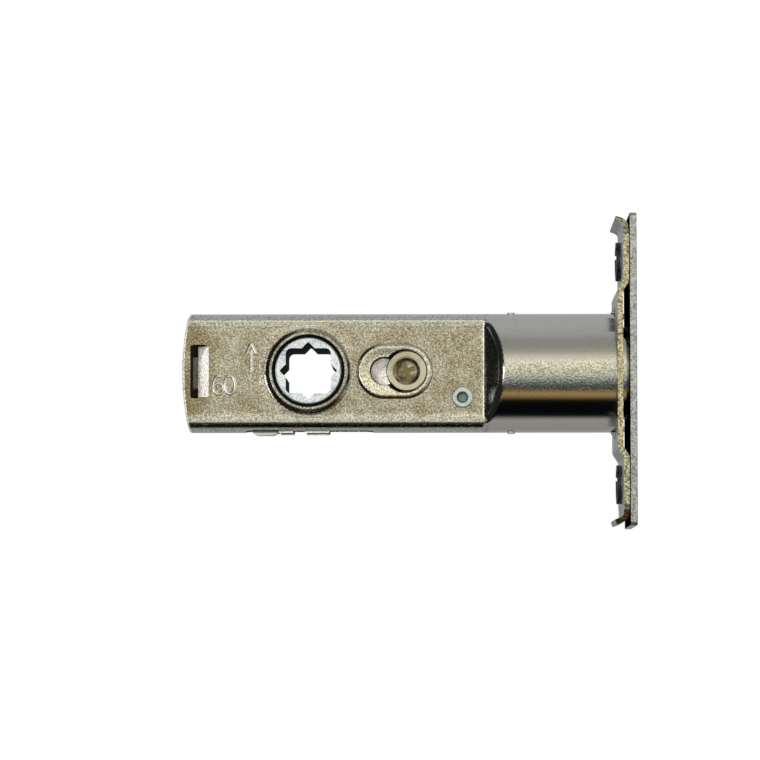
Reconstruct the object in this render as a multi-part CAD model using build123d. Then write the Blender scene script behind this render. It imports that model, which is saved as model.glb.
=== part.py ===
from build123d import *
import os
from math import cos, hypot, radians, sin, sqrt, tan

# Tubular door latch with a turning hub, a bolt in a round tube, and flat plates for the door's edge.
# Sizes are millimetres. X runs out of the door's edge, so the latch's body lies at negative X.
# Y runs across the door's thickness and Z is up. The origin is the middle of the faceplate's front.

# Driving sizes of the whole latch
backset = 60.0                 # faceplate's front to the axis of the hub
throw = 16.0                   # travel of the bolt for a quarter turn of the hub
hub_turn = 90.0                # degrees
running_gap = 0.05             # radial gap of a sliding or turning fit
press_gap = 0.02               # radial gap of a pressed or riveted fit
loose_gap = 0.2                # gap beside a piece that must stay free

# Faceplate and its countersunk dimples
plate_width = 25.4
faceplate_height = 57.1
faceplate_thickness = 1.25
faceplate_corner = 0.8
faceplate_edge = 0.25          # rounding of the front edges
screw_pitch = 41.3
screw_hole_radius = 2.3
screw_head_radius = 4.2
dimple_depth = 2.6
dimple_wall = 1.3              # measured square to the screw's axis
dimple_gap = 0.1               # between a dimple and its seat in the mounting plate
faceplate_gap = 0.2            # between the faceplate and the ends of the mounting plate

# Mounting plate, joggled back round the tube and bent back at both ends
mounting_thickness = 1.0
joggle_depth = 1.1             # how far the middle stands behind the ends
joggle_margin = 3.3            # from the tube's top to the start of the joggle
joggle_rise = 1.7              # height of the joggle's slope
lip_setback = 1.45             # from the faceplate's end to the bend of the lip
lip_length = 2.0
lip_angle = 70.0
lip_bend_radius = 1.45         # at the middle of the sheet
lip_root_cut = 1.5             # how much narrower than the plate the lip is on each side
lip_tip_cut = 3.5
lip_root_setback = 2.95        # from the faceplate's end to the lip's root
lip_root_slope = 1.0
collar_outer_radius = 3.6      # drawn collar behind each screw hole
collar_bore_radius = 2.7
collar_depth = 0.88
collar_notch = 0.9             # width of the torn gaps in the collar's rim
collar_notch_turns = (20.0, 140.0, 255.0)

# Round tube with both sides pressed flat towards the rear
case_radius = 11.0
case_wall = 1.05
case_length = 83.3             # faceplate's front to the middle of the rear end
rear_bow_radius = 50.0         # the rear end is bowed, seen from the side
rear_rim_radius = 0.35
case_flat = 6.0                # half thickness over the two flat sides
press_radius = 1.5             # rounding along the pressed edges and the shoulder's brow
shoulder_rear = 27.65          # faceplate's front to the foot of the sloping shoulder
shoulder_run = 2.9             # length of the slope along X
shoulder_foot = 0.6            # rounding at the foot of the slope
side_lug_width = 12.0          # tabs of the tube that are staked through the mounting plate
top_lug_width = 3.0
lug_corner = 1.0
lug_reach = 0.68               # how far the tabs stand past the mounting plate
lug_slot_gap = 0.1
ear_height = 1.3               # small ears pushed out beside the staked tube
ear_depth = 0.8
ear_width = 3.0
nub_lead = 4.9                 # from the shoulder's foot to the small raised lances
nub_length = 1.3
nub_rise = 0.25
nub_width = 3.6

# Collar drawn out round the hub
hub_collar_radius = 7.3
hub_collar_rise = 2.2          # above the flat sides
hub_collar_fillet = 0.9
hub_collar_edge = 0.25
hub_collar_mouth = 0.4         # bevel round the bore

# Raised boss with its keyhole window round the guide post
post_lead = 18.0               # from the hub's axis to the guide post
boss_length = 14.1
boss_height = 10.2
boss_lag = 2.2                 # from the post back to the middle of the boss
boss_rise = 0.95
boss_edge = 0.8
window_radius = 3.9
window_lobe_lag = 4.1          # from the post back to the middle of the window's lobe
window_lobe_radius = 2.65

# Slots pressed into the tube
crank_slot_gap = 0.1           # before and behind the crank's sweep
crank_slot_corner = 1.2
rear_slot_margin = 1.5         # from the rear end to the side slots
rear_slot_length = 3.5
rear_slot_height = 9.9
rear_slot_front_corner = 0.9
rear_slot_back_corner = 0.5
tab_side_gap = 0.3             # sheared gap above and below the locking tab
tab_angle = 50.0               # how far the locking tab is bent inwards
tab_run = 2.2                  # length of the bent tab along X

# Inner frame, one folded sheet inside the tube
frame_thickness = 0.9
frame_edge_gap = 0.23          # between the frame's edges and the tube's inner corners
frame_corner = 1.5
frame_lead_gap = 1.1           # behind the shoulder's foot
frame_neck_lead = 0.75         # how far before the side slots the frame steps in
frame_tail_margin = 1.8        # from the case's rear end to the frame's tail
frame_tail_half = 2.5          # half thickness over the tail
frame_tail_height = 5.7
frame_rib_height = 11.0        # stiffening fold in the middle of the tail
foot_gap = 0.1                 # round the frame's feet in their slots
foot_reach = 0.2               # feet stand past the tube
foot_spans = ((-5.5, -2.9), (-0.7, 3.7))    # along X, counted from the hub's axis

# Guide post with its two collars and its screw
post_radius = 2.0
post_shank_radius = 1.45
post_head_radius = 2.5
guide_collar_radius = 3.75
guide_collar_recess = 2.7
guide_collar_sink = 0.3        # floor of the recess below the flat sides
guide_collar_rise = 0.9        # top of the collar above the flat sides
guide_collar_edge = 0.3
screw_radius = 1.2
screw_length = 3.6             # grip in the post
screw_tip_gap = 0.4
head_height = 1.0
head_dome_radius = 4.2
cross_width = 0.9
cross_length = 3.4
cross_depth = 0.7
cross_turn = 20.0

# Stop rivet with its sleeve
stop_lag = 4.1                 # from the shoulder's foot back to the rivet
stop_z = -4.8
stop_rivet_radius = 1.15
stop_head_radius = 1.95
stop_head_height = 0.4
stop_hollow_radius = 0.8
stop_mouth_radius = 1.1
stop_mouth_depth = 0.6
stop_hollow_depth = 2.0
stop_sleeve_wall = 0.35

# Bolt, its front guide and its tail
bolt_edge = 0.6
bolt_length = 24.0
bolt_flange_length = 2.2
guide_ring_length = 2.0
guide_ring_wall = 1.35
faceplate_bolt_gap = 0.15
mounting_bolt_gap = 0.3
tail_thickness = 2.4
tail_tongue_height = 10.0
tail_tongue_length = 9.9
tail_low_gap = 0.45            # above the inside of the tube
tail_post_gap = 0.3            # below the guide post
tail_hub_gap = 0.28            # below the hub
tail_step_lead = 9.6           # from the hub's axis to the step of the tail
tail_step_run = 3.0
tail_rise_lead = 2.6           # from the guide post to the rise of the tail
tail_rise_run = 3.0
tail_end_margin = 2.6          # behind the drive pin
tail_corner = 0.6
tail_rivet_radius = 1.5
tail_rivet_lead = 5.5          # from the bolt's back
tail_rivet_sink = 0.2          # ends below the bolt's surface
drive_pin_radius = 1.1

# Hub and the two crank cheeks
hub_radius = 6.17
hub_gap = 0.08                 # between the hub and the collar of the tube
hub_sink = 0.3                 # hub's ends below the rim of the collar
hub_edge = 0.3
star_square = 8.28
star_square_corner = 1.0
star_diamond = 7.54
star_diamond_corner = 0.25
key_count = 3                  # ribs that turn the cheeks, none of them towards the crank's arm
key_reach = 0.85
key_width = 2.6
cheek_near = 1.3
cheek_thickness = 1.0
cheek_ring_radius = 8.0
cheek_tip_radius = 3.6
cheek_flat_reach = 0.5         # flat under the tip, at rest, past the tube
crank_rest_angle = 225.0       # the crank points down and back when the bolt is drawn in
slot_tip_radius = 1.35
slot_tip_reach = 0.04          # beyond the drive pin at either end of its travel
slot_root_radius = 2.05
slot_root_reach = 0.85         # beyond the drive pin in the middle of its travel
slot_rim = 0.25                # from the slot's tip centre to the centre of the cheek's tip
notch_radius = 1.6
notch_lift = 0.75              # centre of a notch beyond the ring
hub_washer_outer = 7.5
hub_washer_thickness = 1.6

# Detent spring, a leaf over the hub whose crest drops into the notches of the cheeks
leaf_thickness = 0.4
leaf_width = 5.8
leaf_span = 20.0
leaf_end_sink = 0.28           # middle of the leaf's ends below the frame's top edge
leaf_top_gap = 0.85            # middle of the raised leaf below the inside of the tube
leaf_crest_sink = 0.45         # middle of the crest below the cheeks' ring
leaf_crest_half = 2.2
leaf_shoulder = 4.6            # from the leaf's end to where it has risen
leaf_end_length = 1.3
leaf_bend_radius = 0.9
leaf_side_gap = 0.05           # between the leaf's wide ends and the tube's flat sides

# Places and sizes that follow from the ones above
hub_x = -backset
rear_x = -case_length
case_bore = case_radius - case_wall
case_inner_flat = case_flat - case_wall
ends_front_x = -(faceplate_thickness + faceplate_gap)
middle_front_x = ends_front_x - joggle_depth
tube_front_x = middle_front_x - mounting_thickness
shoulder_rear_x = -shoulder_rear
shoulder_rise = case_radius - case_flat
hub_bore = hub_radius + hub_gap
hub_collar_top = case_flat + hub_collar_rise
hub_half = hub_collar_top - hub_sink
post_x = hub_x + post_lead
boss_x = post_x - boss_lag
window_lobe_x = post_x - window_lobe_lag
nub_x = shoulder_rear_x + nub_lead
rear_slot_back = rear_x + rear_slot_margin
rear_slot_front = rear_slot_back + rear_slot_length
tab_height = rear_slot_height - 2 * tab_side_gap
frame_inner = case_inner_flat - frame_thickness
frame_height = 2 * (sqrt(case_bore ** 2 - case_inner_flat ** 2) - frame_edge_gap)
frame_front = shoulder_rear_x - frame_lead_gap
frame_neck = rear_slot_front + frame_neck_lead
frame_tail = rear_x + frame_tail_margin
frame_step_run = (case_inner_flat - frame_tail_half) / tan(radians(tab_angle))
guide_collar_floor = case_flat - guide_collar_sink
guide_collar_top = case_flat + guide_collar_rise
stop_x = shoulder_rear_x - stop_lag
stop_sleeve_radius = stop_rivet_radius + running_gap + stop_sleeve_wall
bolt_radius = case_bore - 2 * running_gap - guide_ring_wall
bolt_back_x = -bolt_length
bolt_flange_radius = case_bore - loose_gap
drive_pin_depth = throw / 2 / tan(radians(hub_turn / 2))
drive_pin_x = hub_x - throw / 2
drive_pin_reach = hypot(throw / 2, drive_pin_depth)
tail_half = tail_thickness / 2
tail_low = -(case_bore - tail_low_gap)
tail_rivet_x = bolt_back_x + tail_rivet_lead
slot_tip_distance = drive_pin_reach + slot_tip_reach
slot_root_distance = drive_pin_depth + slot_root_reach
cheek_tip_distance = slot_tip_distance + slot_rim
cheek_far = cheek_near + cheek_thickness
crank_slot_half = cheek_far + loose_gap
crank_slot_length = 2 * (cheek_tip_distance * sin(radians(hub_turn / 2)) + cheek_tip_radius + crank_slot_gap)


def along(section, x_back, x_front):
    """A section drawn in Y and Z, carried along X."""
    return extrude(Plane.YZ.offset(x_back) * section, x_front - x_back)


def across(profile, y_near, y_far):
    """A profile drawn in X and Z, carried across Y."""
    return extrude(Plane.XZ.offset(-y_far) * profile, y_far - y_near)


def upright(plan, z_low, z_high):
    """A plan drawn in X and Y, carried up Z."""
    return extrude(Plane.XY.offset(z_low) * plan, z_high - z_low)


def cone_along(radius_back, radius_front, x_back, x_front):
    """A cone on a line along X, through the middle of the section."""
    from_back = (Align.CENTER, Align.CENTER, Align.MIN)
    return Plane.YZ.offset(x_back) * Cone(radius_back, radius_front, x_front - x_back, align=from_back)


def cone_across(radius_near, radius_far, y_near, y_far):
    """A cone on a line across the latch, on the far side of the middle."""
    from_far = (Align.CENTER, Align.CENTER, Align.MIN)
    return Plane.XZ.offset(-y_far) * Cone(radius_far, radius_near, y_far - y_near, align=from_far)


def outline(*points):
    """A flat face with straight sides between the points."""
    return make_face(Polyline(*points, close=True))


def both_sides(piece):
    """The piece and its mirror image on the other side of the latch."""
    return piece + mirror(piece, about=Plane.XZ)


def pressed_bar(radius, flat, shoulder_shift, x_front):
    """Solid of the tube's form: round in front, two flat sides behind a sloping shoulder."""
    slope = shoulder_run / shoulder_rise
    beyond = case_radius + 2.0

    def slope_x(y):
        return shoulder_rear_x + (y - case_flat) * slope + shoulder_shift

    side = outline((slope_x(beyond), beyond), (slope_x(flat), flat),
                   (rear_x - 2.0, flat), (rear_x - 2.0, beyond))
    pressed_away = both_sides(upright(side, -beyond, beyond))
    return along(Circle(radius), rear_x - 1.0, x_front) - pressed_away


def tube_lugs(gap):
    """The four tabs at the tube's front; a gap makes the slots that they pass through."""
    ring = Circle(case_radius + gap) - Circle(case_bore - gap)
    x_front = middle_front_x + lug_reach
    beyond = case_radius + 2.0
    root_x = tube_front_x - lug_corner - 0.1
    side_tab = across(Pos((x_front + root_x) / 2, 0)
                      * RectangleRounded(x_front - root_x, side_lug_width + 2 * gap, lug_corner),
                      -beyond, beyond)
    top_tab = upright(Pos((x_front + root_x) / 2, 0)
                      * RectangleRounded(x_front - root_x, top_lug_width + 2 * gap, lug_corner),
                      -beyond, beyond)
    staked = along(ring, tube_front_x - 0.05, x_front)
    return (staked & side_tab) + (staked & top_tab)


def locking_tab():
    """Tab of the tube wall bent inwards at the rear slot, to hold the inner frame."""
    run_x, run_y = -cos(radians(tab_angle)), -sin(radians(tab_angle))
    length = tab_run / -run_x
    tip = (rear_slot_front + run_x * length, case_flat + run_y * length)
    shift_x, shift_y = -run_y * case_wall, run_x * case_wall
    sheet = outline((rear_slot_front, case_flat), tip, (tip[0] + shift_x, tip[1] + shift_y),
                    (rear_slot_front + shift_x, case_flat + shift_y))
    return upright(sheet, -tab_height / 2, tab_height / 2)


def rear_slot():
    """Side opening at the rear, with larger corners at its front."""
    middle = (rear_slot_front + rear_slot_back) / 2
    face = Pos(middle, 0) * Rectangle(rear_slot_front - rear_slot_back, rear_slot_height)
    front_corners = face.vertices().sort_by(Axis.X)[-2:]
    face = fillet(front_corners, rear_slot_front_corner)
    back_corners = face.vertices().sort_by(Axis.X)[:2]
    return fillet(back_corners, rear_slot_back_corner)


def make_case_shell():
    """The tube: pressed flat at the rear, with boss, hub collars, slots and staked tabs."""
    through = case_radius + 2.0
    wall_shift = case_wall * hypot(shoulder_run, shoulder_rise) / shoulder_rise
    outer = pressed_bar(case_radius, case_flat, 0.0, tube_front_x)
    foot = [edge for edge in outer.edges().filter_by(Axis.Z) if abs(edge.center().X - shoulder_rear_x) < 0.01]
    outer = fillet(foot, shoulder_foot)
    pressed_edges = [edge for edge in outer.edges().filter_by(Axis.X)
                     if abs(abs(edge.center().Y) - case_flat) < 0.01]
    outer = fillet(pressed_edges + outer.edges().filter_by(GeomType.ELLIPSE), press_radius)
    outer &= across(Pos(rear_x + rear_bow_radius, 0) * Circle(rear_bow_radius), -through, through)
    rim = [edge for edge in outer.edges() if edge.bounding_box().max.X < rear_x + 1.5]
    outer = fillet(rim, rear_rim_radius)
    inner = pressed_bar(case_bore, case_inner_flat, wall_shift, tube_front_x + 1.0)

    boss_face = Pos(boss_x, 0) * SlotOverall(boss_length, boss_height)
    boss = across(boss_face, case_inner_flat, case_flat + boss_rise)
    boss = fillet(boss.faces().sort_by(Axis.Y)[-1].edges(), boss_edge)
    hollow_face = Pos(boss_x, 0) * SlotOverall(boss_length - 2 * case_wall, boss_height - 2 * case_wall)
    boss_hollow = across(hollow_face, 0, case_inner_flat + boss_rise)

    collar = across(Pos(hub_x, 0) * Circle(hub_collar_radius), case_inner_flat, hub_collar_top)
    collar = fillet(collar.faces().sort_by(Axis.Y)[-1].edges(), hub_collar_edge)
    outer += both_sides(boss) + both_sides(collar)
    collar_roots = [edge for edge in outer.edges().filter_by(GeomType.CIRCLE)
                    if abs(edge.radius - hub_collar_radius) < 0.01
                    and abs(abs(edge.center().Y) - case_flat) < 0.01]
    outer = fillet(collar_roots, hub_collar_fillet)

    shell = outer - inner - both_sides(boss_hollow) + tube_lugs(0.0)

    window = Pos(post_x, 0) * Circle(window_radius) + Pos(window_lobe_x, 0) * Circle(window_lobe_radius)
    side_holes = window + Pos(hub_x, 0) * Circle(hub_bore) + rear_slot()
    side_holes += Pos(stop_x, stop_z) * Circle(stop_rivet_radius + press_gap)
    shell -= across(side_holes, -through, through)
    mouth_floor = hub_collar_top - hub_collar_mouth
    mouth = cone_across(hub_bore, hub_bore + hub_collar_mouth, mouth_floor, hub_collar_top)
    shell -= both_sides(Pos(hub_x, 0, 0) * mouth)
    crank_slot = Pos(hub_x, 0) * RectangleRounded(crank_slot_length, 2 * crank_slot_half, crank_slot_corner)
    shell -= upright(crank_slot, -through, -case_flat)
    shell -= frame_feet(foot_gap)
    shell += both_sides(locking_tab())

    nub = along(Circle(case_radius + nub_rise) - Circle(case_radius - case_wall / 2),
                nub_x - nub_length / 2, nub_x + nub_length / 2)
    nub &= upright(Pos(nub_x, 0) * RectangleRounded(nub_length, nub_width, nub_length / 3), -through, through)
    return shell + nub


def frame_feet(gap):
    """Feet of the inner frame under the tube; a gap makes the slots that they stand in."""
    feet = []
    for back, front in foot_spans:
        for side in (-1, 1):
            middle = Pos(hub_x + (back + front) / 2, side * (case_inner_flat - frame_thickness / 2))
            plan = middle * Rectangle(front - back + 2 * gap, frame_thickness + 2 * gap)
            feet.append(upright(plan, -(case_radius + foot_reach), -frame_height / 2 + 2 * gap))
    return feet


def make_mounting_plate():
    """Joggled sheet behind the faceplate, with bent lips, drawn screw collars and slots for the tube."""
    half = mounting_thickness / 2
    end_x, middle_x = ends_front_x - half, middle_front_x - half
    bend_z = faceplate_height / 2 - lip_setback
    lip_x = end_x - lip_length * sin(radians(lip_angle))
    lip_z = bend_z + lip_length * cos(radians(lip_angle))
    joggle_z = case_radius + joggle_margin
    upper = [(middle_x, joggle_z), (end_x, joggle_z + joggle_rise), (end_x, bend_z), (lip_x, lip_z)]
    lower = [(x, -z) for x, z in reversed(upper)]
    bends = [lip_bend_radius, mounting_thickness, mounting_thickness]
    spine = FilletPolyline(*lower, *upper, radius=bends + bends[::-1])
    sheet = across(trace(spine, mounting_thickness), -plate_width / 2, plate_width / 2)

    lip_top = lip_z + mounting_thickness
    root_z = faceplate_height / 2 - lip_root_setback
    top_right = [(plate_width / 2, root_z - lip_root_slope), (plate_width / 2 - lip_root_cut, root_z),
                 (plate_width / 2 - lip_tip_cut, lip_top)]
    top_edge = top_right + [(-y, z) for y, z in reversed(top_right)]
    bottom_edge = [(-y, -z) for y, z in top_edge]
    sheet &= along(outline(*top_edge, *bottom_edge), middle_x - 10.0, 1.0)

    sheet -= along(Circle(bolt_radius + mounting_bolt_gap), middle_x - 10.0, 1.0)
    sheet -= tube_lugs(lug_slot_gap)
    for side in (-1, 1):
        ear = across(outline((tube_front_x, side * case_radius), (tube_front_x - ear_depth, side * case_radius),
                             (tube_front_x, side * (case_radius + ear_height))), -ear_width / 2, ear_width / 2)
        sheet += ear
        at_screw = Pos(0, 0, side * screw_pitch / 2)
        back_x = ends_front_x - mounting_thickness
        sheet += at_screw * along(Circle(collar_outer_radius), back_x - collar_depth, back_x)
        seat_front = screw_head_radius + dimple_wall + dimple_gap
        sheet -= at_screw * cone_along(seat_front - dimple_depth, seat_front, -dimple_depth, 0)
        sheet -= at_screw * along(Circle(collar_bore_radius), back_x - collar_depth - 1.0, 0)
        for turn in collar_notch_turns:
            tear = Pos(collar_outer_radius, 0) * Rectangle(collar_outer_radius, collar_notch)
            sheet -= at_screw * along(Rot(0, 0, turn) * tear, back_x - collar_depth - 1.0,
                                      back_x - collar_depth / 2)
    return sheet


def make_faceplate():
    """Flat plate at the door's edge, with a round hole for the bolt and two dimpled screw holes."""
    plate = along(RectangleRounded(plate_width, faceplate_height, faceplate_corner), -faceplate_thickness, 0)
    plate = fillet(plate.faces().sort_by(Axis.X)[-1].edges(), faceplate_edge)
    plate -= along(Circle(bolt_radius + faceplate_bolt_gap), -2 * faceplate_thickness, 1.0)
    for side in (-1, 1):
        at_screw = Pos(0, 0, side * screw_pitch / 2)
        outer_front = screw_head_radius + dimple_wall
        plate += at_screw * cone_along(outer_front - dimple_depth, outer_front - faceplate_thickness / 2,
                                       -dimple_depth, -faceplate_thickness / 2)
        sink = screw_head_radius - screw_hole_radius
        plate -= at_screw * cone_along(screw_hole_radius, screw_head_radius, -sink, 0)
        plate -= at_screw * along(Circle(screw_hole_radius), -dimple_depth - 1.0, 0)
    return plate


def make_inner_frame():
    """One sheet folded to a U: two side plates joined behind by a web that the tube's tabs lock."""
    outer = [(frame_front, case_inner_flat), (frame_neck, case_inner_flat),
             (frame_neck - frame_step_run, frame_tail_half), (frame_tail, frame_tail_half)]
    plan = outline(*outer, *[(x, -y) for x, y in reversed(outer)])
    hollow = offset(plan, -frame_thickness) + Pos(frame_front, 0) * Rectangle(4.0, 2 * frame_inner)
    folded = upright(plan - hollow, -frame_height / 2, frame_height / 2)
    side_length = frame_front - frame_neck
    side_view = Pos(frame_neck + side_length / 2, 0) * RectangleRounded(side_length, frame_height, frame_corner)
    tail_length = frame_neck - frame_tail
    side_view += Pos(frame_tail + tail_length / 2 + 1.0, 0) * Rectangle(tail_length + 2.0, frame_tail_height)
    for end in (-1, 1):
        x = hub_x + end * (leaf_span - leaf_end_length) / 2
        notch_floor = frame_height / 2 - leaf_end_sink - leaf_thickness / 2 - press_gap
        notch_height = frame_height / 2 - notch_floor + 1.0
        side_view -= (Pos(x, notch_floor + notch_height / 2)
                      * Rectangle(leaf_end_length + 2 * loose_gap, notch_height))
    side_view -= Pos(hub_x, 0) * Circle(hub_bore + running_gap)
    side_view -= Pos(post_x, 0) * Circle(post_shank_radius + press_gap)
    side_view -= Pos(stop_x, stop_z) * Circle(stop_rivet_radius + press_gap)
    frame = folded & across(side_view, -case_radius, case_radius)
    rib_front = frame_neck - frame_step_run
    rib = Pos((frame_tail + rib_front) / 2, 0) * Rectangle(rib_front - frame_tail, frame_thickness)
    return frame + upright(rib, -frame_rib_height / 2, frame_rib_height / 2) + frame_feet(0.0)


def make_guide_post():
    """Round post between the frame plates, riveted over on the far side and tapped for a screw."""
    post = across(Circle(post_radius), -frame_inner, frame_inner)
    post += across(Circle(post_shank_radius), 0, guide_collar_floor)
    post += dome(guide_collar_floor)
    post -= across(Circle(screw_radius + press_gap), -frame_inner - 1.0, -frame_inner + screw_length)
    return Pos(post_x, 0, 0) * post


def dome(y_seat):
    """Low round head on the far side of the axis, standing on the plane y_seat."""
    block = across(Circle(post_head_radius), y_seat, y_seat + head_height)
    ball = Pos(0, y_seat + head_height - head_dome_radius, 0) * Sphere(head_dome_radius)
    return block & ball


def make_guide_screw():
    """Cross-recess screw that holds the near collar to the post."""
    screw = across(Circle(screw_radius), frame_inner - screw_length + screw_tip_gap, guide_collar_floor)
    screw += dome(guide_collar_floor)
    bar = Rectangle(cross_length, cross_width)
    cross = Rot(0, 0, cross_turn) * (bar + Rot(0, 0, 90) * bar)
    top = guide_collar_floor + head_height
    screw -= across(cross, top - cross_depth, top + 1.0)
    return Pos(post_x, 0, 0) * mirror(screw, about=Plane.XZ)


def make_guide_collar(side):
    """Turned collar round the post's end, seated on the frame plate, with a recess for the head."""
    collar = across(Circle(guide_collar_radius), case_inner_flat, guide_collar_top)
    collar = fillet(collar.faces().sort_by(Axis.Y)[-1].edges(), guide_collar_edge)
    collar -= across(Circle(guide_collar_recess), guide_collar_floor, guide_collar_top + 1.0)
    collar -= across(Circle(post_shank_radius + press_gap), 0, guide_collar_top)
    if side < 0:
        collar = mirror(collar, about=Plane.XZ)
    return Pos(post_x, 0, 0) * collar


def make_stop_rivet():
    """Semi-tubular rivet across the case, its hollow end rolled over on the near side."""
    reach = case_flat + stop_head_height
    rivet = across(Circle(stop_rivet_radius), -reach, reach)
    head = across(Circle(stop_head_radius), case_flat, reach)
    head = fillet(head.faces().sort_by(Axis.Y)[-1].edges(), stop_head_height * 0.75)
    rivet += both_sides(head)
    rivet -= across(Circle(stop_hollow_radius), -reach - 1.0, -reach + stop_hollow_depth)
    mouth = cone_across(stop_hollow_radius, stop_mouth_radius, reach - stop_mouth_depth, reach)
    return Pos(stop_x, 0, stop_z) * (rivet - mirror(mouth, about=Plane.XZ))


def make_stop_sleeve():
    """Hard sleeve on the stop rivet, which the tail's slot runs along."""
    ring = Circle(stop_sleeve_radius) - Circle(stop_rivet_radius + running_gap)
    return Pos(stop_x, 0, stop_z) * across(ring, -frame_inner + running_gap, frame_inner - running_gap)


def make_bolt_guide_ring():
    """Bush in the tube's mouth that carries the bolt."""
    ring = Circle(case_bore - running_gap) - Circle(bolt_radius + running_gap)
    return along(ring, tube_front_x - guide_ring_length, tube_front_x)


def leaf_spine():
    """Middle line of the detent spring, from its rear end to its front end."""
    half = leaf_span / 2
    end_z, top_z = frame_height / 2 - leaf_end_sink, case_bore - leaf_top_gap
    front = [(leaf_crest_half, top_z), (half - leaf_shoulder, top_z), (half - leaf_end_length, end_z),
             (half, end_z)]
    back = [(-x, z) for x, z in reversed(front)]
    crest = (0, cheek_ring_radius - leaf_crest_sink)
    points = [(hub_x + x, z) for x, z in back + [crest] + front]
    return FilletPolyline(*points, radius=leaf_bend_radius)


def make_detent_spring():
    """Leaf over the hub with a rounded crest and wider ends that sit in the frame's notches."""
    leaf = across(trace(leaf_spine(), leaf_thickness), -leaf_width / 2, leaf_width / 2)
    for end in (-1, 1):
        x = hub_x + end * (leaf_span - leaf_end_length) / 2
        end_half = case_inner_flat - leaf_side_gap
        leaf += across(Pos(x, frame_height / 2 - leaf_end_sink) * Rectangle(leaf_end_length, leaf_thickness),
                       -end_half, end_half)
    return leaf


def make_bolt():
    """Round bolt with a rear flange and a slot across its back for the tail."""
    bolt = along(Circle(bolt_radius), bolt_back_x, 0)
    bolt = fillet(bolt.faces().sort_by(Axis.X)[-1].edges(), bolt_edge)
    bolt += along(Circle(bolt_flange_radius), bolt_back_x, bolt_back_x + bolt_flange_length)
    slot = Rectangle(tail_thickness + 2 * press_gap, 3 * bolt_radius)
    bolt -= along(slot, bolt_back_x - 1.0, bolt_back_x + tail_tongue_length + press_gap)
    bolt -= across(Pos(tail_rivet_x, 0) * Circle(tail_rivet_radius + press_gap), -case_radius, case_radius)
    return bolt


def make_tail_bar():
    """Flat bar behind the bolt: guide slot for the stop, a step under the hub, and the drive pin's hole."""
    tongue = tail_tongue_height / 2
    front = bolt_back_x + tail_tongue_length
    behind_bolt = bolt_back_x - 0.5
    rise_x, step_x = post_x + tail_rise_lead, hub_x + tail_step_lead
    under_post, under_hub = -(post_radius + tail_post_gap), -(hub_radius + tail_hub_gap)
    arm_end = drive_pin_x - tail_end_margin
    face = outline((front, tongue), (rise_x + tail_rise_run, tongue), (rise_x, under_post),
                   (step_x, under_post), (step_x - tail_step_run, under_hub), (arm_end, under_hub),
                   (arm_end, tail_low), (behind_bolt, tail_low), (behind_bolt, -tongue), (front, -tongue))
    face = fillet(face.vertices(), tail_corner)
    slot_radius = stop_sleeve_radius + running_gap * 2
    slot_length = throw + 2 * slot_radius + 2 * loose_gap
    face -= Pos(stop_x - throw / 2, stop_z) * SlotOverall(slot_length, 2 * slot_radius)
    face -= Pos(drive_pin_x, -drive_pin_depth) * Circle(drive_pin_radius + press_gap)
    face -= Pos(tail_rivet_x, 0) * Circle(tail_rivet_radius + press_gap)
    return across(face, -tail_half, tail_half)


def make_tail_rivet():
    """Pin through the bolt and the tongue of the tail."""
    half = bolt_radius - tail_rivet_sink
    return across(Pos(tail_rivet_x, 0) * Circle(tail_rivet_radius), -half, half)


def make_drive_pin():
    """Pin at the rear end of the tail, which the slots of both cheeks push."""
    pin = Pos(drive_pin_x, -drive_pin_depth) * Circle(drive_pin_radius)
    return across(pin, -cheek_far + running_gap, cheek_far - running_gap)


def hub_section(gap):
    """Round hub with key ribs, seen along its axis; a gap makes the hole that fits it."""
    section = Circle(hub_radius + gap)
    for number in range(1, key_count + 1):
        rib = Pos(hub_radius, 0) * Rectangle(2 * key_reach + 2 * gap, key_width + 2 * gap)
        section += Rot(0, 0, crank_rest_angle + number * 360 / (key_count + 1)) * rib
    return section


def make_hub():
    """Die-cast hub with an eight-pointed hole for the spindle and ribs that turn the cheeks."""
    hub = across(Circle(hub_radius), -hub_half, hub_half)
    ends = hub.faces().sort_by(Axis.Y)
    hub = chamfer(ends[0].edges() + ends[-1].edges(), hub_edge)
    hub += both_sides(across(hub_section(0.0), cheek_near, cheek_far))
    star = RectangleRounded(star_square, star_square, star_square_corner)
    star += Rot(0, 0, 45) * RectangleRounded(star_diamond, star_diamond, star_diamond_corner)
    hub -= across(star, -hub_half - 1.0, hub_half + 1.0)
    return Pos(hub_x, 0, 0) * hub


def towards(angle, distance):
    """Point at a distance from the hub's axis, its angle counted from +X towards +Z."""
    return Pos(distance * cos(radians(angle)), distance * sin(radians(angle)))


def crank_face():
    """Cheek seen from the side: a ring round the hub and an arm with a teardrop slot."""
    tip = towards(crank_rest_angle, cheek_tip_distance) * Circle(cheek_tip_radius)
    face = make_hull((Circle(cheek_ring_radius) + tip).edges())
    slot_tip = towards(crank_rest_angle, slot_tip_distance) * Circle(slot_tip_radius)
    slot_root = towards(crank_rest_angle, slot_root_distance) * Circle(slot_root_radius)
    face -= make_hull(slot_tip.edges() + slot_root.edges())
    beyond = 2 * cheek_tip_distance
    face &= Pos(0, beyond / 2 - case_radius - cheek_flat_reach) * Rectangle(beyond, beyond)
    for angle in (90.0, 90.0 - hub_turn):
        face -= towards(angle, cheek_ring_radius + notch_lift) * Circle(notch_radius)
    return face - hub_section(press_gap)


def make_crank_cheek(side):
    """Punched steel cheek on one side of the tail."""
    cheek = across(crank_face(), cheek_near, cheek_far)
    if side < 0:
        cheek = mirror(cheek, about=Plane.XZ)
    return Pos(hub_x, 0, 0) * cheek


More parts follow.
